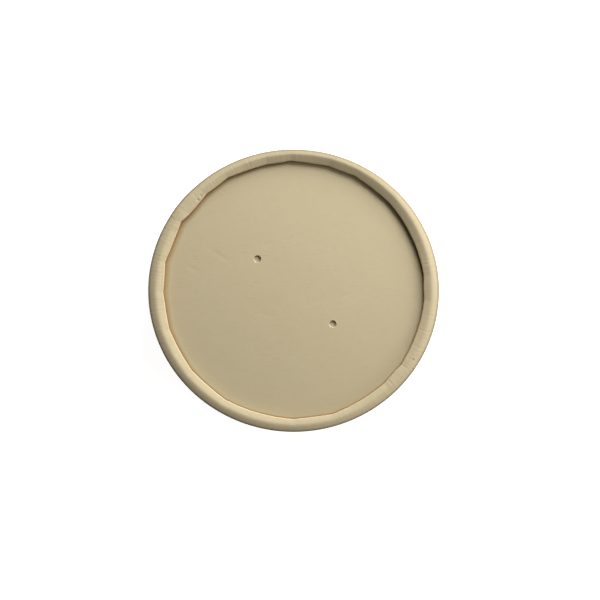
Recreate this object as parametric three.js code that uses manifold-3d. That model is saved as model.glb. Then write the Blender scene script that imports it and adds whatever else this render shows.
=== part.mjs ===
// A round lid for a takeaway container, made of bamboo fibre board: a flat disc with its edge turned
// down, and a strip glued round it whose lower edge is hemmed in and whose upper edge rolls over the disc.
//
// The lid lies with its skirt down. +Z is up, and the origin is the centre of the ring it rests on.
// Lengths are in millimetres. Bearings are in degrees, counter-clockwise from +X seen from above.

import * as THREE from "three";
import { mergeVertices } from "three/addons/utils/BufferGeometryUtils.js";
import Module from "manifold-3d";

// Outline: the lid sits a little out of round.
const rimWidth = 102.5; // along X, outside the skirt
const rimDepth = 99.5; // along Y, outside the skirt
const lidHeight = 14; // from the resting ring to the crest of the roll

// Disc
const discBoard = 0.45;
const recessDepth = 3; // the disc's top lies this far below the crest
const flangeLength = 4; // the turned-down edge, from the disc's top
const flangeBend = 0.5; // inside radius of that turn
const glueLine = 0.1; // between the flange and the skirt

// Strip
const stripBoard = 0.4;
const ridgeRound = 0.36; // how far rounding takes the roll's crest down from a sharp ridge
const outerSlope = 0.32; // the roll's fall outward of the crest, for each millimetre
const levelBearing = 97; // where that slope is nearly level
const levelSlope = 0.26; // how much gentler it is there
const innerSlope = 0.42; // the roll's fall inward of the crest, for each millimetre
const shoulder = 0.35; // how far from the skirt the roll starts to turn down into it
const flapShoulder = 0.3; // the same, where the flap turns down to the disc
const insideShoulder = 0.15; // the same for both, on the inside of the board
const crestInset = 2.65; // from the outline in to the crest of the roll
const pinchBearing = 82; // where the roll is pressed in from outside
const pinchDepth = 1.2; // how much nearer the outline the crest lies there
const pinchSlope = 0.18; // how much steeper the inner slope is there
const leanBearing = 305; // where the roll leans out a little
const leanDepth = 0.28; // how much nearer the outline the crest lies there
const edgeLift = 0.3; // the flap's cut edge clears the disc by this much
const flapSag = 0.3; // how far the flap bellies inward between two creases that lie far apart
const hemLength = 4;
const hemGap = 0.2; // between the hem and the skirt
const hemCorner = 0.25; // outside radius of the hem's two pressed corners

// Glued seam: the strip's outer end lies over its inner end.
const seamBearing = 148.5; // the free end that shows
const seamReach = 4.4; // from the outline in to the cut edge, at the seam
const lapWidth = 9.6; // how much the two ends overlap
const lapRaise = 0.06; // how far the pressed lap stands proud
const lapRamp = 2; // the rise over the hidden end
const lapEnd = 0.4; // the drop at the free end

// The rolled flap creases where the board is gathered in. Each crease has its bearing and the
// distance from the outline in to the cut edge.
const creases = [
  { bearing: 6.5, reach: 5.2 },
  { bearing: 43, reach: 4.9 },
  { bearing: 62.5, reach: 4.3 },
  { bearing: 74.5, reach: 4.3 },
  { bearing: 91.5, reach: 4.0 },
  { bearing: 102, reach: 4.35 },
  { bearing: 120.5, reach: 4.05 },
  { bearing: 132, reach: 4.55 },
  { bearing: 144, reach: 5.25 },
  { bearing: seamBearing, reach: seamReach },
  { bearing: 154, reach: 5.1 },
  { bearing: 167.5, reach: 4.85 },
  { bearing: 180.5, reach: 5.3 },
  { bearing: 197, reach: 5.25 },
  { bearing: 218, reach: 5.1 },
  { bearing: 238, reach: 4.85 },
  { bearing: 270, reach: 4.55 },
  { bearing: 287.5, reach: 4.3 },
  { bearing: 313.8, reach: 4.85 },
  { bearing: 325.5, reach: 4.85 },
  { bearing: 356, reach: 5.25 },
];

// Two round vent pits, pressed into the disc and not cut through.
const pitDiameter = 2.5;
const pitDepth = 0.65;
const pitWall = 0.3; // board left round the pit, and under its floor
const pitEdge = 0.15; // how far the press draws the top edge down and out
const pitSpacing = 35.1;
const pitBearing = 139.3; // of the line through both
const pitOffset = new THREE.Vector2(0.45, -0.3); // the pair's middle, from the disc's centre

// Fineness of the solids
const bearingStep = 4; // largest angle between two sections round the lid
const slopeSteps = 4; // segments on each slope of the roll
const shoulderSteps = 3; // segments round each shoulder of the roll
const bendSteps = 3; // segments round a tight bend
const pitSegments = 32;

const boardColour = 0xc9b892;
const stripColour = 0xcbba93;

const { degToRad } = THREE.MathUtils;

// Distance from the axis to the outside of the skirt.
function outlineRadius(bearing) {
  const angle = degToRad(bearing);
  const along = rimDepth * Math.cos(angle);
  const across = rimWidth * Math.sin(angle);
  return (rimWidth * rimDepth) / 2 / Math.hypot(along, across);
}

// The angle that a length takes up on the outline at the seam.
function seamAngle(length) {
  return THREE.MathUtils.radToDeg(length / outlineRadius(seamBearing));
}

const lapStart = seamBearing - seamAngle(lapWidth);
const lapRise = lapStart - seamAngle(lapRamp);
const lapStop = seamBearing + seamAngle(lapEnd);

// How far the skin stands proud over the lap.
function lapHeight(bearing) {
  const rise = (bearing - lapRise) / (lapStart - lapRise);
  const drop = (lapStop - bearing) / (lapStop - seamBearing);
  return lapRaise * THREE.MathUtils.clamp(Math.min(rise, drop), 0, 1);
}

// How near a bearing is to a middle one: 1 on it, and 0 from a quarter turn away.
function toward(middle, bearing) {
  return Math.max(0, Math.cos(degToRad(bearing - middle))) ** 2;
}

// Distance from the outline in to the flap's cut edge. Between two creases the edge pulls straight
// like a chord, up to the depth that the board's stiffness allows.
function flapReach(bearing) {
  const next = creases.findIndex((crease) => crease.bearing > bearing);
  const after = creases[Math.max(next, 0)];
  const before = creases.at(next > 0 ? next - 1 : -1);
  const span = (after.bearing - before.bearing + 360) % 360;
  const share = ((bearing - before.bearing + 360) % 360) / span;
  const chordDepth = outlineRadius(bearing) * (1 - Math.cos(degToRad(span / 2)));
  const sag = Math.min(flapSag, chordDepth) * Math.sin(Math.PI * share);
  return THREE.MathUtils.lerp(before.reach, after.reach, share) + sag;
}

// The bearings of all sections: every crease and every line of the lap, with even steps between.
function sectionBearings() {
  const marks = [...creases.map((crease) => crease.bearing), lapRise, lapStart, lapStop];
  marks.sort((a, b) => a - b);
  return marks.flatMap((mark, i) => {
    const span = (marks[(i + 1) % marks.length] - mark + 360) % 360;
    const steps = Math.ceil(span / bearingStep);
    return Array.from({ length: steps }, (_, step) => (mark + (span * step) / steps) % 360);
  });
}

// Points on an elliptical arc, angles in degrees from the outward direction, upward positive.
function arc(centre, radiusAcross, radiusUp, from, to, steps) {
  return Array.from({ length: steps + 1 }, (_, i) => {
    const angle = degToRad(from + ((to - from) * i) / steps);
    const across = centre.x + radiusAcross * Math.cos(angle);
    return new THREE.Vector2(across, centre.y + radiusUp * Math.sin(angle));
  });
}

// Half of one face of the roll, as distance from the crest and height over it: the rounded ridge, a
// straight slope, and a shoulder that turns it down into a wall.
function rollHalf({ span, slope, corner }) {
  const level = (x) => ridgeRound - Math.hypot(slope * x, ridgeRound);
  const start = span - corner;
  const turn = level(start) - slope * corner;
  const ridge = Array.from({ length: slopeSteps }, (_, i) => {
    const x = (start * i) / slopeSteps;
    return new THREE.Vector2(x, level(x));
  });
  const bend = new THREE.QuadraticBezierCurve(
    new THREE.Vector2(start, level(start)),
    new THREE.Vector2(span, turn),
    new THREE.Vector2(span, turn - corner),
  );
  return [...ridge, ...bend.getPoints(shoulderSteps)];
}

// One face of the roll, from the skirt over the crest to the flap's wall.
function rollFace(crest, outward, inward) {
  const outer = rollHalf(outward).map(({ x, y }) => new THREE.Vector2(crest.x + x, crest.y + y));
  const inner = rollHalf(inward).map(({ x, y }) => new THREE.Vector2(crest.x - x, crest.y + y));
  return [...outer.reverse(), ...inner.slice(1)];
}

// The strip's section at one bearing, as distance from the axis and height: up the outside of the
// skirt, over the roll to the cut edge, back along the inside of the board, and round the hem.
function stripSection(bearing) {
  const outside = outlineRadius(bearing);
  const proud = lapHeight(bearing);
  const reach = flapReach(bearing);
  const pinch = toward(pinchBearing, bearing);
  const crestReach = crestInset - pinchDepth * pinch - leanDepth * toward(leanBearing, bearing);
  const outward = outerSlope - levelSlope * toward(levelBearing, bearing);
  const inward = innerSlope + pinchSlope * pinch;

  const crest = new THREE.Vector2(outside - crestReach, lidHeight + proud);
  const overRoll = rollFace(
    crest,
    { span: crestReach + proud, slope: outward, corner: shoulder },
    { span: reach - crestReach, slope: inward, corner: flapShoulder },
  );
  const uprightBoard = stripBoard * Math.hypot(1, inward); // the board's thickness where it slopes
  const underCrest = new THREE.Vector2(crest.x, lidHeight - uprightBoard);
  const underRoll = rollFace(
    underCrest,
    { span: crestReach - stripBoard, slope: outward, corner: insideShoulder },
    { span: reach - crestReach - stripBoard, slope: inward, corner: insideShoulder },
  ).reverse();
  const cutEdge = new THREE.Vector2(outside - reach, lidHeight - recessDepth + edgeLift);
  const cutEdgeBack = cutEdge.clone().setX(cutEdge.x + stripBoard);

  const skirtInside = outside - stripBoard;
  const hemOutside = skirtInside - hemGap;
  const hemInside = hemOutside - stripBoard;
  const slot = [
    new THREE.Vector2(skirtInside, stripBoard),
    new THREE.Vector2(hemOutside, stripBoard),
    new THREE.Vector2(hemOutside, hemLength),
    new THREE.Vector2(hemInside, hemLength),
  ];
  const innerCorner = new THREE.Vector2(hemInside + hemCorner, hemCorner);
  const outerCorner = new THREE.Vector2(outside + proud - hemCorner, hemCorner);
  const hemFoot = [
    ...arc(innerCorner, hemCorner, hemCorner, 180, 270, bendSteps),
    ...arc(outerCorner, hemCorner, hemCorner, 270, 360, bendSteps),
  ];
  return [...overRoll, cutEdge, cutEdgeBack, ...underRoll, ...slot, ...hemFoot];
}

// The disc's half section at one bearing, from its underside on the axis to its top on the axis.
// Heights are from the disc's top.
function discSection(bearing) {
  const flangeOutside = outlineRadius(bearing) - stripBoard - glueLine;
  const bendOutside = flangeBend + discBoard;
  const bendCentre = new THREE.Vector2(flangeOutside - bendOutside, -bendOutside);
  return [
    new THREE.Vector2(0, -discBoard),
    ...arc(bendCentre, flangeBend, flangeBend, 90, 0, bendSteps),
    new THREE.Vector2(flangeOutside - discBoard, -flangeLength),
    new THREE.Vector2(flangeOutside, -flangeLength),
    ...arc(bendCentre, bendOutside, bendOutside, 0, 90, bendSteps),
    new THREE.Vector2(0, 0),
  ];
}

// A lathe turned about Z whose section changes with the bearing. The turned form is regular, and
// each of its vertices is then moved to where the section at its bearing has it.
function variedLathe(section, closed) {
  const bearings = sectionBearings();
  const sections = bearings.map((bearing) => {
    const points = section(bearing);
    return closed ? [...points, points[0]] : points;
  });
  const geometry = new THREE.LatheGeometry(sections[0], bearings.length);
  geometry.rotateX(Math.PI / 2);
  const vertices = geometry.attributes.position;
  const count = sections[0].length;
  for (let i = 0; i < vertices.count; i += 1) {
    const turn = Math.floor(i / count) % bearings.length;
    const point = sections[turn][i % count];
    const angle = degToRad(bearings[turn]);
    vertices.setXYZ(i, point.x * Math.cos(angle), point.x * Math.sin(angle), point.y);
  }
  geometry.computeVertexNormals();
  return geometry;
}

// A round tool with its axis on Z, from half an outline in distance from the axis and height.
function turnedTool(outline) {
  const profile = outline.map(([radius, height]) => new THREE.Vector2(radius, height));
  return new THREE.LatheGeometry(profile, pitSegments).rotateX(Math.PI / 2);
}

// The space of one pit, with its drawn-down top edge.
function pitSpace() {
  const radius = pitDiameter / 2;
  return turnedTool([
    [0, -pitDepth],
    [radius, -pitDepth],
    [radius, -pitEdge],
    [radius + pitEdge, 0],
    [radius + pitEdge, discBoard],
    [0, discBoard],
  ]);
}

// The board round one pit, which stands out below the disc as a small boss.
function pitBoss() {
  const radius = pitDiameter / 2 + pitWall;
  const foot = -pitDepth - pitWall;
  return turnedTool([
    [0, foot],
    [radius - pitWall / 2, foot],
    [radius, foot + pitWall / 2],
    [radius, -discBoard / 2],
    [0, -discBoard / 2],
  ]);
}

// Centres of the two pits, on the disc's top.
function pitCentres() {
  const angle = degToRad(pitBearing);
  const half = new THREE.Vector2(Math.cos(angle), Math.sin(angle)).multiplyScalar(pitSpacing / 2);
  return [pitOffset.clone().add(half), pitOffset.clone().sub(half)];
}

const wasm = await Module();
wasm.setup();

function toSolid(geometry) {
  const bare = geometry.clone();
  bare.deleteAttribute("normal");
  bare.deleteAttribute("uv");
  const merged = mergeVertices(bare, 1e-5);
  return new wasm.Manifold(
    new wasm.Mesh({
      numProp: 3,
      vertProperties: new Float32Array(merged.attributes.position.array),
      triVerts: new Uint32Array(merged.index.array),
    }),
  );
}

function toGeometry(solid) {
  const { numProp, vertProperties, triVerts } = solid.getMesh();
  const geometry = new THREE.BufferGeometry();
  geometry.setAttribute("position", new THREE.BufferAttribute(vertProperties, numProp));
  geometry.setIndex(new THREE.BufferAttribute(triVerts, 1));
  geometry.computeVertexNormals();
  return geometry;
}

function topDisc() {
  let solid = toSolid(variedLathe(discSection, false));
  for (const { x, y } of pitCentres()) {
    solid = solid.add(toSolid(pitBoss().translate(x, y, 0)));
    solid = solid.subtract(toSolid(pitSpace().translate(x, y, 0)));
  }
  return toGeometry(solid);
}

function board(name, geometry, color) {
  const material = new THREE.MeshStandardMaterial({ color, roughness: 0.85, metalness: 0 });
  const mesh = new THREE.Mesh(geometry, material);
  mesh.name = name;
  return mesh;
}

const lid = new THREE.Group();

const disc = board("top_disc", topDisc(), boardColour);
disc.position.z = lidHeight - recessDepth;
lid.add(disc);

lid.add(board("rim_band", variedLathe(stripSection, true), stripColour));

export default lid;
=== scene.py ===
"""A round takeaway lid of bamboo fibre board, lying skirt down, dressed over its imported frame.

Lengths are in metres and bearings in degrees, counter-clockwise from +X seen from above.
"""
import bisect
import logging
import math
import random
from collections.abc import Iterable
from dataclasses import dataclass, field
from enum import Enum
from typing import Any

import bpy
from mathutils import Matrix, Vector, geometry, noise


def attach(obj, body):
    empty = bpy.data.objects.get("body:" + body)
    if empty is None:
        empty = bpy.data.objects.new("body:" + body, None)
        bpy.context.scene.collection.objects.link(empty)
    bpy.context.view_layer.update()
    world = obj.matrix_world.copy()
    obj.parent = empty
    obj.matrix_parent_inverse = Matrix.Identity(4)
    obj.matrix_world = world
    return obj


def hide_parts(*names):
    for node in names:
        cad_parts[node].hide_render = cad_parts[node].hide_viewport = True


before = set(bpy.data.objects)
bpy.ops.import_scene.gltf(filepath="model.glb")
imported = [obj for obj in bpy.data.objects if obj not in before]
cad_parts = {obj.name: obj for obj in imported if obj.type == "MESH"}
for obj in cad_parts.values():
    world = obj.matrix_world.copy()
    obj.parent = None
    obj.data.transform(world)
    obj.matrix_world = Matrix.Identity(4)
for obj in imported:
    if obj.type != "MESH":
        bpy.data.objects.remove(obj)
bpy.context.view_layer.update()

LOG = logging.getLogger("lid")
MM = 0.001
ALONG = "UVMap"  # the layer that says where a corner lies on the flat board, in metres
# How far a point is from the flap's cut edge: millimetres on the strip, widths of the painted crevice shade
# on the disc.
TO_EDGE = "to_edge"
FAR_FROM_EDGE = 20.0  # its value at every place that no cut edge is near
SHARP_ANGLE = 40.0  # degrees; softer corners are shaded smooth
QUARTER_BEND = range(15, 91, 15)  # degrees round a quarter of a bend, after its start
WRINKLE_REACH = 3.0  # widths from its middle at which a wrinkle has died out
WELD = 1e-9  # points of the disc's net that lie nearer to each other are one

Point = tuple[float, float, float]


class Slot(Enum):
    """The record's material slots."""

    DISC = "disc_board"
    STRIP = "strip_board"


def linear(colour: str) -> tuple[float, float, float, float]:
    """Turn an sRGB hex colour into linear values.

    Args:
        colour: Six hex digits after a hash.

    Returns:
        Linear red, green and blue, and full opacity.
    """
    channels = [int(colour[i : i + 2], 16) / 255 for i in (1, 3, 5)]
    red, green, blue = (c / 12.92 if c <= 0.04045 else ((c + 0.055) / 1.055) ** 2.4 for c in channels)
    return red, green, blue, 1.0


def smooth_step(value: float) -> float:
    """Ease a value from 0 to 1, held at both ends."""
    value = min(max(value, 0.0), 1.0)
    return value * value * (3 - 2 * value)


def turn_between(start: float, end: float) -> float:
    """Give the smallest angle from one bearing to another, with its sign, in degrees."""
    return (end - start + 180) % 360 - 180


def toward(middle: float, bearing: float) -> float:
    """Give how near a bearing is to a middle one: 1 on it, and 0 from a quarter turn away."""
    return max(0.0, math.cos(math.radians(bearing - middle))) ** 2


def drift(bearing: float, rate: float, seed: tuple[float, float]) -> float:
    """Give a smooth random value, about -1 to 1, that changes with the bearing."""
    return noise.noise(Vector((bearing * rate, *seed)))


def polar(radius: float, bearing: float, height: float = 0.0) -> Point:
    """Give the point at a distance from the axis, at a bearing and a height."""
    angle = math.radians(bearing)
    return radius * math.cos(angle), radius * math.sin(angle), height


def curve_point(corners: list[tuple[float, float]], share: float) -> Vector:
    """Give the point at a share of the way along the smooth curve that three corners guide."""
    weights = ((1 - share) ** 2, 2 * share * (1 - share), share * share)
    return sum((weight * Vector(corner) for weight, corner in zip(weights, corners)), Vector((0, 0)))


def add_node(tree: bpy.types.NodeTree, kind: str, inputs: dict[int | str, Any], **settings: Any) -> Any:
    """Add a node with its settings, and set or link its inputs.

    Args:
        tree: The tree to add to.
        kind: The node's type name.
        inputs: A value or another node's output for each input.
        settings: Properties of the node itself.

    Returns:
        The new node.
    """
    node = tree.nodes.new(kind)
    for name, value in settings.items():
        setattr(node, name, value)
    for key, value in inputs.items():
        if isinstance(value, bpy.types.NodeSocket):
            tree.links.new(value, node.inputs[key])
        else:
            node.inputs[key].default_value = value
    return node


def empty_material(name: str) -> bpy.types.Material:
    """Make a material whose node tree is still empty.

    Args:
        name: The real material and how it was made.

    Returns:
        The new material.
    """
    material = bpy.data.materials.new(name)
    material.use_nodes = True
    material.node_tree.nodes.clear()
    return material


@dataclass
class Shell:
    """A mesh in the making, and how it lies on the flat board that it is formed from."""

    points: list[Point] = field(default_factory=list)
    faces: list[tuple[int, ...]] = field(default_factory=list)
    spread: list[float] = field(default_factory=list)  # where each corner lies on the board, two values
    to_edge: list[float] = field(default_factory=list)

    def ring(self, spots: Iterable[Point]) -> list[int]:
        """Add a ring of points.

        Args:
            spots: The points, in order.

        Returns:
            Their numbers.
        """
        first = len(self.points)
        self.points.extend(spots)
        return list(range(first, len(self.points)))

    def belt(self, lower: list[int], upper: list[int]) -> None:
        """Add a belt of faces between two rings of points, given by their numbers."""
        self.faces += zip(lower, lower[1:] + lower[:1], upper[1:] + upper[:1], upper)

    def stack(self, last: list[int], rings: Iterable[list[Point]], inward: bool = False) -> list[int]:
        """Add rings of points, each joined to the one before it by a belt of faces.

        Args:
            last: The numbers of the ring to start from.
            rings: The points of the new rings.
            inward: Whether the faces look toward the rings' axis on the way down.

        Returns:
            The last ring's numbers.
        """
        for spots in rings:
            ring = self.ring(spots)
            lower, upper = (last, ring) if inward else (ring, last)
            self.belt(lower, upper)
            last = ring
        return last

    def piece(self, name: str) -> bpy.types.Object:
        """Make the object.

        Args:
            name: The piece's name.

        Returns:
            The new object, in the scene.
        """
        mesh = bpy.data.meshes.new(name)
        mesh.from_pydata(self.points, [], self.faces)
        mesh.uv_layers.new(name=ALONG).data.foreach_set("uv", self.spread)
        mesh.attributes.new(TO_EDGE, "FLOAT", "POINT").data.foreach_set("value", self.to_edge)
        mesh.shade_smooth()
        mesh.set_sharp_from_angle(angle=math.radians(SHARP_ANGLE))
        mesh.validate()
        piece = bpy.data.objects.new(name, mesh)
        bpy.context.scene.collection.objects.link(piece)
        return piece


@dataclass(frozen=True)
class Outline:
    """The lid's outline from above, a little out of round."""

    width: float = 102.5 * MM
    depth: float = 99.5 * MM

    def radius(self, bearing: float) -> float:
        """Give the distance from the axis to the outside of the skirt.

        Args:
            bearing: Where on the lid.

        Returns:
            The distance.
        """
        angle = math.radians(bearing)
        along, across = self.depth * math.cos(angle), self.width * math.sin(angle)
        return self.width * self.depth / 2 / math.hypot(along, across)

    def place(self, bearing: float, inset: float, height: float) -> Point:
        """Give the point at a bearing and a height that lies a distance inside the outline."""
        return polar(self.radius(bearing) - inset, bearing, height)


class Ease(Enum):
    """How a strength grows on the way from its start to its end."""

    SMOOTH = "SMOOTHSTEP"
    EVEN = "LINEAR"


@dataclass(frozen=True)
class Fade:
    """A strength that goes from 0 at a pattern's start value to its top at the end value."""

    start: float
    end: float
    top: float = 1.0
    ease: Ease = Ease.SMOOTH


@dataclass(frozen=True)
class Canvas:
    """A board's node tree, and the output that says where a point lies on the flat board."""

    tree: bpy.types.NodeTree
    place: Any

    def patches(self, size: float, detail: float) -> Any:
        """Give an even cloudy pattern with patches of a real size."""
        settings = {"Vector": self.place, "Scale": 1 / size, "Detail": detail, "Roughness": 0.55}
        return add_node(self.tree, "ShaderNodeTexNoise", settings).outputs[0]

    def inward(self) -> Any:
        """Give how far a point lies in from the strip's outer bend."""
        return add_node(self.tree, "ShaderNodeSeparateXYZ", {0: self.place}).outputs[1]

    def strength(self, pattern: Any, fade: Fade) -> Any:
        """Turn a pattern into a strength."""
        span = {"Value": pattern, "From Min": fade.start, "From Max": fade.end, "To Max": fade.top}
        return add_node(self.tree, "ShaderNodeMapRange", span, interpolation_type=fade.ease.value).outputs[0]

    def lay(self, over: str, colour: Any, pattern: Any, fade: Fade) -> Any:
        """Lay another colour over the colour so far, by a pattern's strength."""
        sockets = {0: self.strength(pattern, fade), 6: colour, 7: linear(over)}
        return add_node(self.tree, "ShaderNodeMix", sockets, data_type="RGBA").outputs[2]


@dataclass(frozen=True)
class FibreBoard:
    """Uncoated bamboo fibre board, pressed from pulp and rolled smooth.

    The eye gets a matt beige with a yellow-brown cast and a soft cloudy mottle, short fibres a little darker
    or paler than the pulp, a few bran-coloured flecks, and a browner core where the board is cut. Painted
    crevice shade and bounce light lie beside the flap's cut edge, and painted shade on the strip's outer
    bend.
    """

    name: str
    pulp: str
    pale_pulp: str
    cloud_size: float = 14 * MM  # where the pulp settled thicker
    cloud_share: float = 0.5  # beside the small mottle
    mottle_size: float = 2.2 * MM
    fibre: str = "#9B8D69"
    fibre_length: float = 3.5 * MM  # bamboo fibres are 1.5 to 4 mm long
    fibre_width: float = 0.3 * MM  # real ones are about 0.02 mm: drawn coarse enough to show
    fibre_turns: tuple[float, ...] = (84, 31, -35)  # ways that the fibres lie, in degrees
    fibre_fade: Fade = Fade(0.6, 0.76, 0.2)
    fleck: str = "#7E6A47"
    fleck_spacing: float = 3.2 * MM
    fleck_fade: Fade = Fade(0.07, 0.04, 0.12)
    specks: tuple[Point, ...] = ()
    speck: str = "#4A3A26"
    speck_fade: Fade = Fade(0.275 * MM, 0.1375 * MM, 0.9)  # from a speck's edge to its full colour
    warm_crevice_shade: str = "#957447"  # painted crevice shade and brownish bounce light beside the cut edge
    crevice_shade_fade: Fade = Fade(0.5, 0.0, 0.3, Ease.EVEN)
    # The strip's browner cut core; on the disc the same colour is painted shade at the foot of the flap.
    core_and_crevice_shade: str = "#9E713F"
    core_and_shade_fade: Fade = Fade(0.35, 0.1, 0.55)
    ragged_size: float = 1.1 * MM  # of the tongues that the browned core and the painted shade run out in
    ragged_swing: float = 0.25
    # Painted shade that greys the strip's outer bend.
    outer_bend_shade: str = "#8A8068"
    outer_bend_shade_fade: Fade | None = None  # inward of the strip's outer bend, where painted shade darkens it
    roughness: float = 0.82
    roughness_swing: float = 0.06
    index: float = 1.47
    tooth_size: float = 0.45 * MM  # real tooth is about 0.05 mm: drawn coarse enough to show
    tooth_depth: float = 0.018 * MM
    rib_spacing: float = 0.75 * MM
    rib_length: float = 4.5 * MM
    rib_depth: float = 0.0
    rib_fade: Fade = Fade(9 * MM, 7.2 * MM)  # inward of the strip's outer bend, over the roll

    def dress(self, piece: bpy.types.Object, slot: Slot) -> None:
        """Put this board on a piece.

        Args:
            piece: The object to dress.
            slot: The record's slot for the piece; not used.
        """
        piece.data.materials.clear()
        piece.data.materials.append(self.material())

    def material(self) -> bpy.types.Material:
        """Build the board's material.

        Returns:
            The new material.
        """
        material = empty_material(self.name)
        tree = material.node_tree
        canvas = Canvas(tree, add_node(tree, "ShaderNodeUVMap", {}, uv_map=ALONG).outputs[0])
        mottle = canvas.patches(self.mottle_size, detail=4)
        strands = [self.strands(canvas, turn) for turn in self.fibre_turns]
        colour = self.pulped(canvas, mottle)
        for strand in strands:
            colour = canvas.lay(self.fibre, colour, strand, self.fibre_fade)
        spread = {"Vector": canvas.place, "Scale": 1 / self.fleck_spacing}
        grains = add_node(tree, "ShaderNodeTexVoronoi", spread).outputs[0]
        colour = canvas.lay(self.fleck, colour, grains, self.fleck_fade)
        colour = self.specked(canvas, colour)
        # Painted crevice shade and bounce light beside the cut edge, and the cut core.
        colour = self.cored_and_shaded(canvas, colour)
        # Painted shade over the strip's outer bend.
        if self.outer_bend_shade_fade:
            colour = canvas.lay(self.outer_bend_shade, colour, canvas.inward(), self.outer_bend_shade_fade)
        relief = self.toothed(canvas, strands[0])
        if self.rib_depth:
            relief = self.ribbed(canvas, relief)
        low, high = self.roughness - self.roughness_swing, self.roughness + self.roughness_swing
        span = {"Value": mottle, "To Min": low, "To Max": high}
        rough = add_node(tree, "ShaderNodeMapRange", span).outputs[0]
        sockets = {"Base Color": colour, "Roughness": rough, "IOR": self.index, "Normal": relief}
        surface = add_node(tree, "ShaderNodeBsdfPrincipled", sockets).outputs[0]
        add_node(tree, "ShaderNodeOutputMaterial", {"Surface": surface})
        return material

    def strands(self, canvas: Canvas, turn: float) -> Any:
        """Give a pattern of short strands that lie mostly one way.

        Args:
            canvas: The board's node tree.
            turn: The way the strands lie, in degrees; it also picks the pattern's part.

        Returns:
            The pattern's output.
        """
        squeeze = (1 / self.fibre_length, 1 / self.fibre_width, 1)
        turned = {"Location": (turn, 2 * turn, 0), "Rotation": (0, 0, math.radians(turn)), "Scale": squeeze}
        across = add_node(canvas.tree, "ShaderNodeMapping", {"Vector": canvas.place, **turned}).outputs[0]
        settings = {"Vector": across, "Scale": 1.0, "Detail": 2.0, "Roughness": 0.5, "Distortion": 0.6}
        return add_node(canvas.tree, "ShaderNodeTexNoise", settings).outputs[0]

    def pulped(self, canvas: Canvas, mottle: Any) -> Any:
        """Colour the pulp, by its small mottle and by wider clouds.

        Args:
            canvas: The board's node tree.
            mottle: The small mottle's pattern.

        Returns:
            The colour's output.
        """
        shades = []
        for pattern in (mottle, canvas.patches(self.cloud_size, detail=2)):
            sockets = {0: pattern, 6: linear(self.pulp), 7: linear(self.pale_pulp)}
            shades.append(add_node(canvas.tree, "ShaderNodeMix", sockets, data_type="RGBA").outputs[2])
        sockets = {0: self.cloud_share, 6: shades[0], 7: shades[1]}
        return add_node(canvas.tree, "ShaderNodeMix", sockets, data_type="RGBA").outputs[2]

    def specked(self, canvas: Canvas, colour: Any) -> Any:
        """Add the single dark specks of bran at their places on the lid.

        Args:
            canvas: The board's node tree.
            colour: The colour so far.

        Returns:
            The specked colour's output, or the colour as it was.
        """
        for spot in self.specks:
            here = add_node(canvas.tree, "ShaderNodeTexCoord", {}).outputs["Object"]
            away = add_node(canvas.tree, "ShaderNodeVectorMath", {0: here, 1: spot}, operation="DISTANCE")
            colour = canvas.lay(self.speck, colour, away.outputs["Value"], self.speck_fade)
        return colour

    def cored_and_shaded(self, canvas: Canvas, colour: Any) -> Any:
        """Lay painted crevice shade and bounce light beside the flap's cut edge, and the strip's browner cut
        core. On the disc the core colour is painted shade too.

        Args:
            canvas: The board's node tree.
            colour: The colour so far.

        Returns:
            The browned colour's output.
        """
        distance = add_node(canvas.tree, "ShaderNodeAttribute", {}, attribute_name=TO_EDGE).outputs["Fac"]
        # Painted crevice shade, darkest at the cut edge and fading over its width.
        colour = canvas.lay(self.warm_crevice_shade, colour, distance, self.crevice_shade_fade)
        ragged = canvas.patches(self.ragged_size, detail=2)
        swing = {"Value": ragged, "To Min": -self.ragged_swing, "To Max": self.ragged_swing}
        wander = add_node(canvas.tree, "ShaderNodeMapRange", swing).outputs[0]
        uneven = add_node(canvas.tree, "ShaderNodeMath", {0: distance, 1: wander}, operation="ADD").outputs[0]
        return canvas.lay(self.core_and_crevice_shade, colour, uneven, self.core_and_shade_fade)

    def toothed(self, canvas: Canvas, strand: Any) -> Any:
        """Raise the board's fine tooth, and the strands that stand proud.

        Args:
            canvas: The board's node tree.
            strand: The pattern of those strands.

        Returns:
            The relief's output.
        """
        tooth = canvas.patches(self.tooth_size, detail=3)
        height = add_node(canvas.tree, "ShaderNodeMath", {0: tooth, 1: strand}, operation="ADD").outputs[0]
        settings = {"Height": height, "Distance": self.tooth_depth, "Strength": 1.0}
        return add_node(canvas.tree, "ShaderNodeBump", settings).outputs[0]

    def ribbed(self, canvas: Canvas, relief: Any) -> Any:
        """Add the fine ribs that rolling gathers across the rolled edge.

        Args:
            canvas: The board's node tree.
            relief: The relief so far.

        Returns:
            The ribbed relief's output.
        """
        squeeze = {"Vector": canvas.place, "Scale": (1 / self.rib_spacing, 1 / self.rib_length, 1)}
        across = add_node(canvas.tree, "ShaderNodeMapping", squeeze).outputs[0]
        settings = {"Vector": across, "Scale": 1.0, "Detail": 1.0, "Roughness": 0.4}
        ribs = add_node(canvas.tree, "ShaderNodeTexNoise", settings).outputs[0]
        share = canvas.strength(canvas.inward(), self.rib_fade)
        rolled = add_node(canvas.tree, "ShaderNodeMath", {0: ribs, 1: share}, operation="MULTIPLY").outputs[0]
        settings = {"Height": rolled, "Distance": self.rib_depth, "Strength": 1.0, "Normal": relief}
        return add_node(canvas.tree, "ShaderNodeBump", settings).outputs[0]


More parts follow.
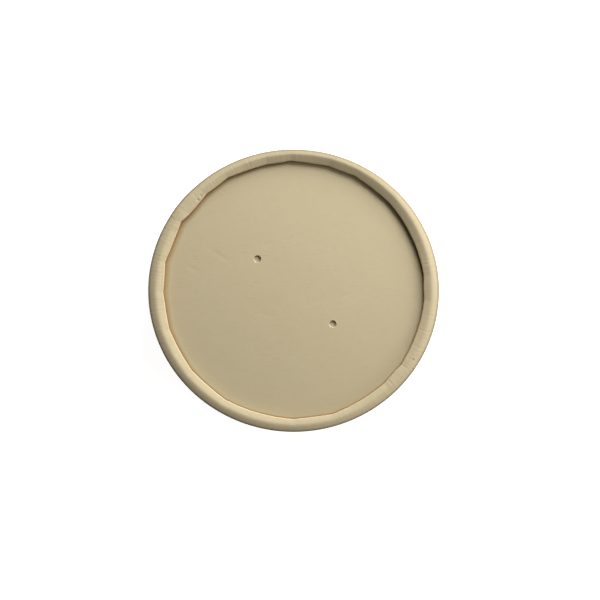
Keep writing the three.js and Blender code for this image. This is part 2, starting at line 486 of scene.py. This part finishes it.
@dataclass
class RimBand:
    """The strip round the lid: a skirt, hemmed in below and rolled in over the disc above."""

    outline: Outline
    finish: FibreBoard
    lid_height: float = 14 * MM
    recess_depth: float = 3 * MM
    board: float = 0.4 * MM
    crest_inset: float = 2.65 * MM
    pinch_bearing: float = 82  # where the roll is pinched in
    pinch_depth: float = 1.2 * MM
    lean_bearing: float = 305  # where the roll leans out
    lean_depth: float = 0.28 * MM
    ridge_round: float = 0.36 * MM
    outer_slope: float = 0.32  # fall for each unit outward from the crest
    level_bearing: float = 97  # where that slope is nearly level
    level_slope: float = 0.26  # how much gentler it is there
    inner_slope: float = 0.42
    pinch_steeper: float = 0.18  # how much steeper the inner slope is where the roll is pinched
    shoulder: float = 0.35 * MM
    edge_shoulder: float = 0.3 * MM
    edge_lift: float = 0.3 * MM
    flap_sag: float = 0.3 * MM
    flap_waver: float = 0.06 * MM
    waver_rate: float = 0.9  # of the random drift, for each degree
    waver_seed: tuple[float, float] = (3.1, 0.4)
    crest_settle: float = 0.05 * MM
    settle_rate: float = 0.11
    settle_seed: tuple[float, float] = (0.7, 2.2)
    wall_shares: tuple[float, ...] = (0.25, 0.5, 0.75, 0.92)  # of the flap's steep edge
    skin_steps: int = 14  # segments on each slope
    inner_steps: int = 6
    inner_drop: float = 1.1  # boards from the crest to the inside
    inner_corners: tuple[float, float] = (0.2 * MM, 0.1 * MM)
    inner_levels: tuple[float, ...] = (8, 4.5, 0.4)  # down the skirt's inside, in millimetres
    outer_levels: tuple[float, ...] = (1.5, 3, 5, 7, 9, 10.6)  # up its outside, in millimetres
    hem_length: float = 4 * MM
    hem_gap: float = 0.2 * MM
    hem_corner: float = 0.25 * MM
    hem_steps: int = 5
    seam_bearing: float = 148.5
    lap_width: float = 9.6 * MM
    lap_raise: float = 0.06 * MM
    lap_ramp: float = 2 * MM
    lap_end: float = 0.3 * MM
    lap_brink: float = 0.15 * MM  # behind the strip's free end, where one more section lies
    step: float = 0.42  # degrees between two sections
    # Bearing and reach from the outline, in millimetres, of each corner of the cut edge.
    creases: tuple[tuple[float, float], ...] = (
        (6.5, 5.2), (43, 4.9), (62.5, 4.3), (74.5, 4.3), (91.5, 4.0), (102, 4.35), (120.5, 4.05),
        (132, 4.55), (144, 5.25), (148.5, 4.4), (154, 5.1), (167.5, 4.85), (180.5, 5.3), (197, 5.25),
        (218, 5.1), (238, 4.85), (270, 4.55), (287.5, 4.3), (313.8, 4.85), (325.5, 4.85), (356, 5.25),
    )
    fold_width: float = 1.7 * MM  # of the soft fold behind each crease
    fold_depth: float = 0.08 * MM
    nicks: tuple[tuple[float, float], ...] = ((134.3, 3.7), (136.6, 4.1))
    nick_size: float = 0.28 * MM
    nick_deep: float = 0.3 * MM
    wrinkle_count: int = 60
    wrinkle_depths: tuple[float, float] = (0.01, 0.035)  # in millimetres
    wrinkle_width: float = 0.35 * MM
    wrinkle_start: float = 0.8 * MM  # how far outward of the crest the wrinkles begin
    gathered: tuple[tuple[float, float], ...] = ((90, 126), (300, 331))  # where more wrinkles lie
    gathered_count: int = 12
    gathered_depths: tuple[float, float] = (0.015, 0.03)  # in millimetres
    wrinkles: list[tuple[float, float]] = field(default_factory=list)

    def __post_init__(self) -> None:
        """Lay out the fine wrinkles of the flap, closer together where the board is gathered."""
        draw = random.Random(7)
        for _ in range(self.wrinkle_count):
            self.wrinkles.append((draw.uniform(0, 360), draw.uniform(*self.wrinkle_depths) * MM))
        for start, end in self.gathered:
            for _ in range(self.gathered_count):
                self.wrinkles.append((draw.uniform(start, end), draw.uniform(*self.gathered_depths) * MM))
        for bearing, _ in self.creases:
            self.wrinkles.append((bearing, draw.uniform(*self.gathered_depths) * MM))
        self.wrinkles.sort()

    def seam_angle(self, length: float) -> float:
        """Give the angle that a length takes up on the outline at the seam."""
        return math.degrees(length / self.outline.radius(self.seam_bearing))

    def lap_height(self, bearing: float) -> float:
        """Give how far the skin stands proud over the lap of the strip's two ends.

        Args:
            bearing: Where on the lid.

        Returns:
            The height of the step, 0 away from the lap.
        """
        behind = -turn_between(self.seam_bearing, bearing)
        start, ramp, end = (self.seam_angle(x) for x in (self.lap_width, self.lap_ramp, self.lap_end))
        share = min((start + ramp - behind) / ramp, (behind + end) / end)
        return self.lap_raise * min(max(share, 0.0), 1.0)

    def crest(self, bearing: float) -> float:
        """Give the distance from the outline in to the crest of the roll."""
        pinch, lean = toward(self.pinch_bearing, bearing), toward(self.lean_bearing, bearing)
        return self.crest_inset - self.pinch_depth * pinch - self.lean_depth * lean

    def slopes(self, bearing: float) -> tuple[float, float]:
        """Give the slopes of the roll outward and inward of its crest."""
        outward = self.outer_slope - self.level_slope * toward(self.level_bearing, bearing)
        return outward, self.inner_slope + self.pinch_steeper * toward(self.pinch_bearing, bearing)

    def flap_reach(self, bearing: float) -> float:
        """Give the distance from the outline in to the flap's cut edge.

        Args:
            bearing: Where on the lid.

        Returns:
            The distance, with the edge's small waver.
        """
        bearings = [mark for mark, _ in self.creases]
        after = bisect.bisect_right(bearings, bearing) % len(bearings)
        (first, near), (second, far) = self.creases[after - 1], self.creases[after]
        span = (second - first) % 360
        share = ((bearing - first) % 360) / span
        chord = self.outline.radius(bearing) * (1 - math.cos(math.radians(span / 2)))
        sag = min(self.flap_sag, chord) * math.sin(math.pi * share)
        waver = self.flap_waver * drift(bearing, self.waver_rate, self.waver_seed)
        return (near + (far - near) * share) * MM + sag + waver

    def cut_edge(self, bearing: float) -> Vector:
        """Give the cut edge's distance from the axis, and its height."""
        level = self.lid_height - self.recess_depth + self.edge_lift
        return Vector((self.outline.radius(bearing) - self.flap_reach(bearing), level))

    def wrinkle_depth(self, bearing: float) -> float:
        """Give how deep the flap's wrinkles and soft folds are.

        Args:
            bearing: Where on the lid.

        Returns:
            The depth.
        """
        radius = self.outline.radius(bearing)
        depth = 0.0
        for mark, deep in self.wrinkles:
            away = math.radians(turn_between(mark, bearing)) * radius / self.wrinkle_width
            if abs(away) < WRINKLE_REACH:
                depth += deep * math.exp(-away * away)
        for mark, _ in self.creases:
            away = math.radians(turn_between(mark, bearing)) * radius / self.fold_width
            depth += self.fold_depth * math.exp(-away * away)
        return depth

    def nick_depth(self, bearing: float, inset: float) -> float:
        """Give how deep a small nick dents the flap.

        Args:
            bearing: Where on the lid.
            inset: Distance from the outline.

        Returns:
            The depth.
        """
        depth = 0.0
        for mark, reach in self.nicks:
            along = math.radians(turn_between(mark, bearing)) * self.outline.radius(bearing)
            away = math.hypot(along, inset - reach * MM) / self.nick_size
            depth += self.nick_deep * math.exp(-away * away)
        return depth

    def slope_height(self, top: float, slope: float, away: float) -> float:
        """Give the height of a slope at a distance from its rounded crest."""
        return top - math.hypot(slope * away, self.ridge_round) + self.ridge_round

    def half_ridge(self, top: float, slope: float, reach: float, corner: float, steps: int) -> list[Vector]:
        """Give one half of the rolled top: a shoulder, then a slope up to the rounded crest.

        Args:
            top: Height of the crest.
            slope: Fall for each unit away from the crest.
            reach: From the crest out to the wall.
            corner: How far from the wall its shoulder starts.
            steps: Segments on the slope, and twice those on the shoulder.

        Returns:
            Distance from the crest, and height, for each point from the wall to the crest.
        """
        start = reach - corner
        level = self.slope_height(top, slope, start)
        turn = level - slope * corner
        guides = [(reach, turn - corner), (reach, turn), (start, level)]
        curve = [curve_point(guides, i / (steps // 2)) for i in range(steps // 2)]
        aways = [start * (1 - i / steps) for i in range(steps + 1)]
        return curve + [Vector((away, self.slope_height(top, slope, away))) for away in aways]

    def ridge(
        self, crest: Vector, slopes: tuple[float, float], spans: tuple[float, float],
        corners: tuple[float, float], steps: int,
    ) -> list[Vector]:
        """Give one face of the rolled top: a shoulder, a slope up to the crest, one down, a shoulder.

        Args:
            crest: Distance from the axis and height of the crest.
            slopes: Fall for each unit outward and inward of the crest.
            spans: From the crest out to the skirt, and in to the flap's edge.
            corners: How far from each wall its shoulder starts.
            steps: Segments on each slope, and twice those on both shoulders.

        Returns:
            The points from the skirt's top to the top of the flap's steep edge.
        """
        halves = []
        for side, slope, reach, corner in zip((1, -1), slopes, spans, corners):
            half = self.half_ridge(crest.y, slope, reach, corner, steps)
            halves.append([Vector((crest.x + side * spot.x, spot.y)) for spot in half])
        return halves[0] + halves[1][-2::-1]

    def skin(self, bearing: float) -> list[Vector]:
        """Give the seen side of the rolled top at a bearing.

        Args:
            bearing: Where on the lid.

        Returns:
            Distance from the axis and height of each point, from the skirt's top to the cut edge.
        """
        outside, crest, reach = self.outline.radius(bearing), self.crest(bearing), self.flap_reach(bearing)
        proud = self.lap_height(bearing)
        settle = self.crest_settle * (1 + drift(bearing, self.settle_rate, self.settle_seed))
        top = Vector((outside - crest, self.lid_height + proud - settle))
        corners = (self.shoulder, self.edge_shoulder)
        over = self.ridge(top, self.slopes(bearing), (crest + proud, reach - crest), corners, self.skin_steps)
        wall, edge = len(over), self.cut_edge(bearing)
        over += [over[-1].lerp(edge, share) for share in self.wall_shares] + [edge]
        ditch = self.wrinkle_depth(bearing)
        for row, spot in enumerate(over):
            grown = smooth_step((top.x - spot.x + self.wrinkle_start) / (reach - crest))
            dent = ditch * grown + self.nick_depth(bearing, outside - spot.x)
            # A dent sinks the slope, and moves the steep edge outward instead.
            over[row] = spot + Vector((dent, 0.0) if row >= wall else (0.0, -dent))
        return over

    def lining(self, bearing: float) -> list[Vector]:
        """Give the hidden side of the strip at a bearing, and the outside of its skirt.

        Args:
            bearing: Where on the lid.

        Returns:
            Distance from the axis and height of each point, from behind the cut edge back under the
            roll, down inside, round the hem and up the skirt.
        """
        outside, crest, reach = self.outline.radius(bearing), self.crest(bearing), self.flap_reach(bearing)
        under = Vector((outside - crest, self.lid_height - self.inner_drop * self.board))
        spans = (crest - self.board, reach - crest - self.board)
        inner = self.ridge(under, self.slopes(bearing), spans, self.inner_corners, self.inner_steps)
        inside = outside - self.board
        hem_outside = inside - self.hem_gap
        hem_inside = hem_outside - self.board
        skirt = outside + self.lap_height(bearing)
        foot = self.hem_corner
        spots = [self.cut_edge(bearing) + Vector((self.board, 0)), *reversed(inner)]
        spots += [Vector((inside, level * MM)) for level in self.inner_levels]
        spots += [Vector((hem_outside, self.board)), Vector((hem_outside, self.hem_length))]
        spots += [Vector((hem_inside, self.hem_length)), Vector((hem_inside, self.hem_length / 2))]
        spots += self.hem_bend(Vector((hem_inside + foot, foot)), 180)
        spots += self.hem_bend(Vector((skirt - foot, foot)), 270)
        return spots + [Vector((skirt, level * MM)) for level in self.outer_levels]

    def hem_bend(self, centre: Vector, start: float) -> list[Vector]:
        """Give a quarter bend at the foot of the hem.

        Args:
            centre: Distance from the axis and height of the bend's centre.
            start: First angle in degrees, from outward, positive upward.

        Returns:
            The points in order.
        """
        size = self.hem_corner
        angles = [math.radians(start + 90 * i / self.hem_steps) for i in range(self.hem_steps + 1)]
        return [centre + Vector((size * math.cos(a), size * math.sin(a))) for a in angles]

    def section(self, bearing: float) -> list[tuple[float, float, float]]:
        """Give the strip's section at a bearing.

        Args:
            bearing: Where on the lid.

        Returns:
            Distance from the axis, height, and millimetres to the cut edge, for each point.
        """
        skin, lining = self.skin(bearing), self.lining(bearing)
        lengths = [(b - a).length for a, b in zip(skin, skin[1:])]
        near = [sum(lengths[row:]) / MM for row in range(len(skin))]
        near += [0.0] + [FAR_FROM_EDGE] * (len(lining) - 1)
        return [(spot.x, spot.y, away) for spot, away in zip(skin + lining, near)]

    def bearings(self) -> list[float]:
        """Give the bearings of all sections.

        Returns:
            The bearings from the seam's free end round to it again, one at each crease and at each
            end of the lap's ramp.
        """
        start = self.seam_bearing + self.seam_angle(self.lap_end)
        behind = (self.lap_width, self.lap_brink, self.lap_width + self.lap_ramp)
        marks = {(mark - start) % 360 for mark, _ in self.creases} | {0.0, 360.0}
        marks |= {(self.seam_bearing - self.seam_angle(length) - start) % 360 for length in behind}
        ordered = sorted(marks)
        turns: list[float] = []
        for first, second in zip(ordered, ordered[1:]):
            steps = max(1, math.ceil((second - first) / self.step))
            turns += [first + (second - first) * i / steps for i in range(steps)]
        return [start + turn for turn in turns]

    def shape(self) -> bpy.types.Object:
        """Build the strip's closed mesh.

        Returns:
            The new object, with its place on the flat board: along the strip from the seam, and
            across it from the skirt's top.
        """
        bearings = self.bearings()
        sections = [self.section(bearing % 360) for bearing in bearings]
        rows = len(sections[0])
        shell = Shell()
        for bearing, section in zip(bearings, sections):
            shell.ring(polar(radius, bearing, height) for radius, height, _ in section)
            shell.to_edge += [near for _, _, near in section]
        mean = (self.outline.width + self.outline.depth) / 4
        along = [math.radians(bearing - bearings[0]) * mean for bearing in bearings] + [math.tau * mean]
        across = [0.0]
        for (r0, z0, _), (r1, z1, _) in zip(sections[0], sections[0][1:] + sections[0][:1]):
            across.append(across[-1] + math.hypot(r1 - r0, z1 - z0))
        for i in range(len(bearings)):
            ahead = (i + 1) % len(bearings)
            for j in range(rows):
                up = (j + 1) % rows
                shell.faces.append((i * rows + j, ahead * rows + j, ahead * rows + up, i * rows + up))
                for u, v in ((i, j), (i + 1, j), (i + 1, j + 1), (i, j + 1)):
                    shell.spread += (along[u], across[v])
        return shell.piece("rolled_rim")

    def build(self) -> bpy.types.Object:
        """Build the strip, tie it to the frame and dress it.

        Returns:
            The finished piece.
        """
        band = self.shape()
        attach(band, "root")
        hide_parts("rim_band")
        self.finish.dress(band, Slot.STRIP)
        return band


@dataclass
class TopDisc:
    """The flat disc inside the rim, with two pressed pits and its edge turned down."""

    outline: Outline
    rim: RimBand
    finish: FibreBoard
    top: float = 11 * MM
    board: float = 0.45 * MM
    glue_line: float = 0.1 * MM
    bend: float = 0.5 * MM
    flange: float = 4 * MM
    pit_spacing: float = 35.1 * MM
    pit_bearing: float = 139.3
    pit_middle: tuple[float, float] = (0.45 * MM, -0.3 * MM)
    pit_diameter: float = 2.5 * MM
    pit_depth: float = 0.65 * MM
    pit_edge: float = 0.15 * MM
    pit_floor_bend: float = 0.25 * MM
    # The floor's shallow dish: share of the pit's radius, and how much deeper in millimetres.
    pit_dish: tuple[tuple[float, float], ...] = ((0.5, 0.03), (0.2, 0.04))
    pit_wall: float = 0.3 * MM
    boss_start: float = 0.1 * MM
    boss_bend: float = 0.25 * MM
    boss_bevel: float = 0.08 * MM
    boss_flat: float = 0.4  # share of the boss's radius
    shade_width: float = 0.6 * MM  # of the painted crevice shade beside the flap's cut edge
    shade_swing: float = 1.6 * MM  # how much wider it is at its widest bearing
    shade_bearing: float = 160
    shade_deep: float = 0.2 * MM  # how far below the top it still shows
    cockle_size: float = 9 * MM
    cockle_height: float = 0.015 * MM
    cockle_seed: float = 1.7
    # Faint dents of the pressed board: x, y, length, way in degrees, and depth, in millimetres.
    dents: tuple[tuple[float, float, float, float, float], ...] = (
        (1.4, 19.1, 6, 30, 0.05), (-4.0, 14.3, 3, 60, 0.04), (9.0, 16.4, 4, 15, 0.04),
        (20.3, 20.0, 5, 50, 0.045), (-9.5, 16.3, 4, 10, 0.04), (-26.4, 12.6, 9, -30, 0.045),
        (-35.6, 7.6, 4, -28, 0.04), (8.7, -3.6, 7, 15, 0.035), (17.3, -1.9, 7, 22, 0.035),
        (-10.7, -8.2, 5, -15, 0.035),
    )
    dent_half_width: float = 0.6  # in millimetres
    dent_ends: float = 2.5  # half lengths from its middle at which a dent has died out
    dent_sides: float = 3.5  # and half widths
    spacing: float = 0.62 * MM  # of the flat's points
    edge_clear: float = 0.35  # spacings that they keep from the flat's edge
    pit_clear: float = 0.3  # spacings that they keep from a pit
    hole_share: float = 0.99  # of a pit's mouth, within which no triangle of the flat lies
    ring_count: int = 720
    pit_count: int = 72

    def pit_centres(self) -> list[Vector]:
        """Give the centres of the two pits."""
        half = Vector(polar(1.0, self.pit_bearing)[:2])
        middle = Vector(self.pit_middle)
        return [middle + half * (self.pit_spacing / 2), middle - half * (self.pit_spacing / 2)]

    def pit_mouth(self) -> float:
        """Give the radius of a pit's rounded mouth."""
        return self.pit_diameter / 2 + self.pit_edge

    def pit_angles(self) -> list[float]:
        """Give the angles, in radians, of the points of a ring round a pit."""
        return [math.tau * i / self.pit_count for i in range(self.pit_count)]

    def flat_radius(self, bearing: float) -> float:
        """Give how far the flat of the disc reaches before its edge bends down."""
        return self.outline.radius(bearing) - self.rim.board - self.glue_line - self.bend - self.board

    def ring_bearings(self) -> list[float]:
        """Give the bearings of the points of a ring round the disc."""
        return [360 * i / self.ring_count for i in range(self.ring_count)]

    def shade_reach(self, bearing: float) -> float:
        """Give how far the painted crevice shade reaches over the disc from the cut edge."""
        return self.shade_width + self.shade_swing * toward(self.shade_bearing, bearing)

    def shade_place(self, spot: Point) -> float:
        """Give how far a point is from the flap's cut edge.

        Args:
            spot: A point of the disc.

        Returns:
            The distance as a share of the painted shade's width there, or far off for what lies below the
            top.
        """
        x, y, z = spot
        if z <= self.top - self.shade_deep:
            return FAR_FROM_EDGE
        bearing = math.degrees(math.atan2(y, x)) % 360
        gap = self.outline.radius(bearing) - self.rim.flap_reach(bearing) - math.hypot(x, y)
        return gap / self.shade_reach(bearing)

    def cockle(self, x: float, y: float) -> float:
        """Give how far the pressed board lies off its flat.

        Args:
            x: Place on the disc.
            y: Place on the disc.

        Returns:
            The height, with the faint dents.
        """
        place = Vector((x / self.cockle_size, y / self.cockle_size, self.cockle_seed))
        height = self.cockle_height * (noise.noise(place) - 0.5)
        for at_x, at_y, length, way, depth in self.dents:
            angle = math.radians(way)
            dx, dy = x / MM - at_x, y / MM - at_y
            along = (dx * math.cos(angle) + dy * math.sin(angle)) / (length / 2)
            across = (dy * math.cos(angle) - dx * math.sin(angle)) / self.dent_half_width
            if abs(along) < self.dent_ends and abs(across) < self.dent_sides:
                height -= depth * MM * math.exp(-along * along - across * across)
        return height

    def edges(self) -> list[list[Vector]]:
        """Give the points of the flat's edge and of each pit's mouth, counter-clockwise."""
        mouth = [self.pit_mouth() * Vector((math.cos(a), math.sin(a))) for a in self.pit_angles()]
        outer = [Vector(polar(self.flat_radius(b), b)[:2]) for b in self.ring_bearings()]
        return [outer, *([centre + spot for spot in mouth] for centre in self.pit_centres())]

    def net(self) -> list[Vector]:
        """Give an even net of points over the flat, clear of its edge and of the pits.

        Returns:
            The points, row by row.
        """
        centres, clear = self.pit_centres(), self.pit_mouth() + self.pit_clear * self.spacing
        step_y = self.spacing * math.sqrt(3) / 2
        rows = int(self.outline.width / 2 / step_y) + 1
        spots = []
        for row in range(-rows, rows + 1):
            for column in range(-rows - 2, rows + 3):
                spot = Vector(((column + 0.5 * (row % 2)) * self.spacing, row * step_y))
                bearing = math.degrees(math.atan2(spot.y, spot.x))
                reach = self.flat_radius(bearing) - self.edge_clear * self.spacing
                if spot.length < reach and all((spot - centre).length > clear for centre in centres):
                    spots.append(spot)
        return spots

    def sheet(self) -> tuple[list[Vector], list[tuple[int, ...]], list[list[int]]]:
        """Lay even triangles over the disc's flat, with round holes for the pits.

        Returns:
            The flat's points, its triangles, and the point numbers of the flat's edge and of each
            pit's mouth, counter-clockwise.
        """
        loops: list[list[int]] = []
        points: list[Vector] = []
        for ring in self.edges():
            loops.append(list(range(len(points), len(points) + len(ring))))
            points += ring
        points += self.net()
        lines = [(a, b) for loop in loops for a, b in zip(loop, loop[1:] + loop[:1])]
        spots, _, faces, *_ = geometry.delaunay_2d_cdt(points, lines, [], 0, WELD)
        kept, hole = [], self.hole_share * self.pit_mouth()
        for face in faces:
            middle = sum((spots[i] for i in face), Vector((0, 0))) / len(face)
            if all((middle - centre).length > hole for centre in self.pit_centres()):
                kept.append(tuple(face))
        return list(spots), kept, loops

    def turn_down(self, shell: Shell, upper: list[int], under: list[int]) -> None:
        """Bend the disc's edge down into the flange that is glued inside the skirt.

        Args:
            shell: The mesh to add to.
            upper: The edge of the flat's top.
            under: The edge of its underside.
        """
        outside, inside = self.bend + self.board, self.bend
        centre, foot = self.top - outside, self.top - self.flange
        angles = [math.radians(degrees) for degrees in QUARTER_BEND]
        profile = [(outside * math.sin(a), centre + outside * math.cos(a)) for a in angles]
        profile += [(outside, foot), (inside, foot)]
        profile += [(inside * math.sin(a), centre + inside * math.cos(a)) for a in reversed(angles)]
        rings = ([polar(self.flat_radius(b) + out, b, z) for b in self.ring_bearings()] for out, z in profile)
        shell.belt(under, shell.stack(upper, rings))

    def pit_profile(self) -> list[tuple[float, float]]:
        """Give a pit's profile: its rounded mouth, its wall and its dished floor.

        Returns:
            Distance from the pit's axis, and height over the disc's top, for each ring.
        """
        radius = self.pit_diameter / 2
        profile = []
        for angle in map(math.radians, QUARTER_BEND):
            reach = radius + self.pit_edge * (1 - math.sin(angle))
            profile.append((reach, -self.pit_edge * (1 - math.cos(angle))))
        for angle in map(math.radians, (0, *QUARTER_BEND)):
            reach = radius - self.pit_floor_bend * (1 - math.cos(angle))
            profile.append((reach, -self.pit_depth + self.pit_floor_bend * (1 - math.sin(angle))))
        return profile + [(radius * share, -self.pit_depth - low * MM) for share, low in self.pit_dish]

    def boss_profile(self) -> list[tuple[float, float]]:
        """Give the profile of the boss under a pit.

        Returns:
            Distance from the pit's axis, and height over the disc's top, for each ring.
        """
        wall = self.pit_diameter / 2 + self.pit_wall
        below = -self.pit_depth - self.pit_wall
        return [
            (wall, -self.board - self.boss_start),
            (wall, below + self.boss_bend),
            (wall - self.boss_bevel, below + self.boss_bevel),
            (wall - self.boss_bend, below),
            (wall * self.boss_flat, below),
        ]

    def pit_ring(self, centre: Vector, reach: float, height: float) -> list[Point]:
        """Give a ring of points round a pit's axis, at a height over the disc's top."""
        angles, z = self.pit_angles(), self.top + height
        return [(centre.x + reach * math.cos(a), centre.y + reach * math.sin(a), z) for a in angles]

    def press_pit(self, shell: Shell, centre: Vector, mouth: list[int], root: list[int]) -> None:
        """Press one pit into the top, with its boss on the underside.

        Args:
            shell: The mesh to add to.
            centre: The pit's centre.
            mouth: The edge of its hole in the flat's top.
            root: The edge of its hole in the underside.
        """
        hollow = (self.pit_ring(centre, *place) for place in self.pit_profile())
        shell.faces.append(tuple(shell.stack(mouth, hollow, inward=True)))
        boss = (self.pit_ring(centre, *place) for place in self.boss_profile())
        shell.faces.append(tuple(reversed(shell.stack(root, boss))))

    def shape(self) -> bpy.types.Object:
        """Build the disc's closed mesh, top and underside.

        Returns:
            The new object.
        """
        spots, triangles, loops = self.sheet()
        count = len(spots)
        shell = Shell()
        for level in (self.top, self.top - self.board):
            shell.ring((spot.x, spot.y, level + self.cockle(spot.x, spot.y)) for spot in spots)
        shell.faces += triangles
        shell.faces += [tuple(count + i for i in reversed(face)) for face in triangles]
        under = [[count + i for i in loop] for loop in loops]
        self.turn_down(shell, loops[0], under[0])
        for centre, mouth, root in zip(self.pit_centres(), loops[1:], under[1:]):
            self.press_pit(shell, centre, mouth, root)
        shell.to_edge = [self.shade_place(spot) for spot in shell.points]
        shell.spread = [value for face in shell.faces for i in face for value in shell.points[i][:2]]
        return shell.piece("pressed_disc")

    def build(self) -> bpy.types.Object:
        """Build the disc, tie it to the frame and dress it.

        Returns:
            The finished piece.
        """
        disc = self.shape()
        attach(disc, "root")
        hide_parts("top_disc")
        self.finish.dress(disc, Slot.DISC)
        return disc


@dataclass(frozen=True)
class SoftLamp:
    """A round soft light that faces the lid."""

    name: str
    bearing: float
    height: float  # degrees above the floor
    distance: float
    size: float
    power: float
    colour: str
    aim_level: float = 11 * MM

    def hang(self) -> None:
        """Hang the lamp in the scene."""
        light = bpy.data.lights.new(self.name, "AREA")
        light.shape = "DISK"
        light.size = self.size
        light.energy = self.power
        light.color = linear(self.colour)[:3]
        lamp = bpy.data.objects.new(self.name, light)
        lamp.visible_camera = False
        turn, lift = math.radians(self.bearing), math.radians(self.height)
        away = Vector((math.cos(lift) * math.cos(turn), math.cos(lift) * math.sin(turn), math.sin(lift)))
        lamp.location = Vector((0, 0, self.aim_level)) + away * self.distance
        lamp.rotation_euler = away.to_track_quat("Z", "Y").to_euler()
        bpy.context.scene.collection.objects.link(lamp)


@dataclass
class Studio:
    """A plain pale floor under soft light from the upper right of the picture."""

    floor_half: float = 3.0
    floor_grid: int = 8
    paper: str = "#F0F0F0"
    paper_glow: float = 0.92  # light that the floor gives off by itself, which keeps it pale
    lamps: tuple[SoftLamp, ...] = (
        SoftLamp("key", bearing=62, height=22, distance=0.36, size=0.38, power=3.82, colour="#FEFDFC"),
        SoftLamp("side", bearing=342, height=15, distance=0.36, size=0.34, power=0.92, colour="#FFFDFA"),
    )
    fill_colour: str = "#FFF5E8"
    fill_strength: float = 0.09

    def floor(self) -> None:
        """Lay the floor: matt white paper, lit through from below so that it stays pale."""
        mesh = bpy.data.meshes.new("studio_floor")
        step = 2 * self.floor_half / self.floor_grid
        row = self.floor_grid + 1
        places = [i * step - self.floor_half for i in range(row)]
        points = [(x, y, 0) for y in places for x in places]
        corners = [y * row + x for y in range(self.floor_grid) for x in range(self.floor_grid)]
        mesh.from_pydata(points, [], [(a, a + 1, a + row + 1, a + row) for a in corners])
        mesh.materials.append(self.paper_material())
        piece = bpy.data.objects.new("studio_floor", mesh)
        piece.visible_diffuse = False
        piece.visible_glossy = False
        bpy.context.scene.collection.objects.link(piece)

    def paper_material(self) -> bpy.types.Material:
        """Build the floor's material: uncoated white paper, which gives an even matt white.

        Returns:
            The new material.
        """
        material = empty_material("white_paper_sweep")
        sockets = {
            "Base Color": linear(self.paper),
            "Roughness": 0.9,
            "Emission Color": linear("#FFFFFF"),
            "Emission Strength": self.paper_glow,
        }
        paper = add_node(material.node_tree, "ShaderNodeBsdfPrincipled", sockets).outputs[0]
        add_node(material.node_tree, "ShaderNodeOutputMaterial", {"Surface": paper})
        return material

    def fill(self) -> None:
        """Set the even light from all round."""
        world = bpy.data.worlds.new("studio")
        world.use_nodes = True
        tree = world.node_tree
        tree.nodes.clear()
        settings = {"Color": linear(self.fill_colour), "Strength": self.fill_strength}
        sky = add_node(tree, "ShaderNodeBackground", settings).outputs[0]
        add_node(tree, "ShaderNodeOutputWorld", {"Surface": sky})
        bpy.context.scene.world = world

    def build(self) -> None:
        """Set up the floor and the lights."""
        self.floor()
        for lamp in self.lamps:
            lamp.hang()
        self.fill()
        bpy.context.scene.view_settings.view_transform = "Standard"


@dataclass
class OverheadCamera:
    """A long lens straight above the lid, framed as the picture is."""

    frame_width: float = 211.4 * MM  # what the picture spans at the height of the rim
    rim_level: float = 12.5 * MM
    middle: tuple[float, float] = (2.2 * MM, -3.3 * MM)
    height: float = 0.9
    sensor: float = 36.0  # millimetres, as the lens is
    clip_start: float = 0.01

    def build(self) -> None:
        """Place the camera and make it the scene's."""
        data = bpy.data.cameras.new("overhead")
        data.sensor_width = self.sensor
        data.lens = self.sensor * (self.height - self.rim_level) / self.frame_width
        data.clip_start = self.clip_start
        camera = bpy.data.objects.new("overhead", data)
        camera.location = (*self.middle, self.height)
        bpy.context.scene.collection.objects.link(camera)
        bpy.context.scene.camera = camera


def rolled_board(outline: Outline) -> FibreBoard:
    """Give the strip's finish, on which the picture shows one dark speck.

    Args:
        outline: The lid's outline, for the speck's place.

    Returns:
        Rolled board: the eye gets fine ribs over the roll, and painted shade greys the outer bend.
    """
    speck = outline.place(bearing=330.3, inset=2.3 * MM, height=13.95 * MM)
    return FibreBoard(
        "bamboo_board_rolled", "#B5A786", "#BDB090", specks=(speck,), rib_depth=0.08 * MM,
        # Painted shade greys the outer bend.
        outer_bend_shade_fade=Fade(1.3 * MM, 0.52 * MM, 0.85),
    )


def pressed_board() -> FibreBoard:
    """Give the disc's finish.

    Returns:
        Pressed board: the eye gets a smoother flat, with painted crevice shade and bounce light in brown
            beside the flap. Its widths there are shares of the painted shade's own width.
    """
    return FibreBoard(
        "bamboo_board_pressed", "#B2A585", "#B9AD8D",
        # Painted crevice shade beside the flap, and the core colour as painted shade at its foot.
        crevice_shade_fade=Fade(1.0, 0.0, 0.92, Ease.EVEN), core_and_shade_fade=Fade(0.2, 0.1, 0.55),
    )


def main() -> None:
    """Build the camera, the studio and the lid's pieces in order."""
    logging.basicConfig(level=logging.INFO, format="%(name)s: %(message)s")
    OverheadCamera().build()
    Studio().build()

    outline = Outline()
    rim = RimBand(outline, rolled_board(outline))
    disc = TopDisc(outline, rim, pressed_board())
    for part in (rim, disc):
        piece = part.build()
        LOG.info("%s: %d faces of %s", piece.name, len(piece.data.polygons), part.finish.name)


if __name__ == "__main__":
    main()
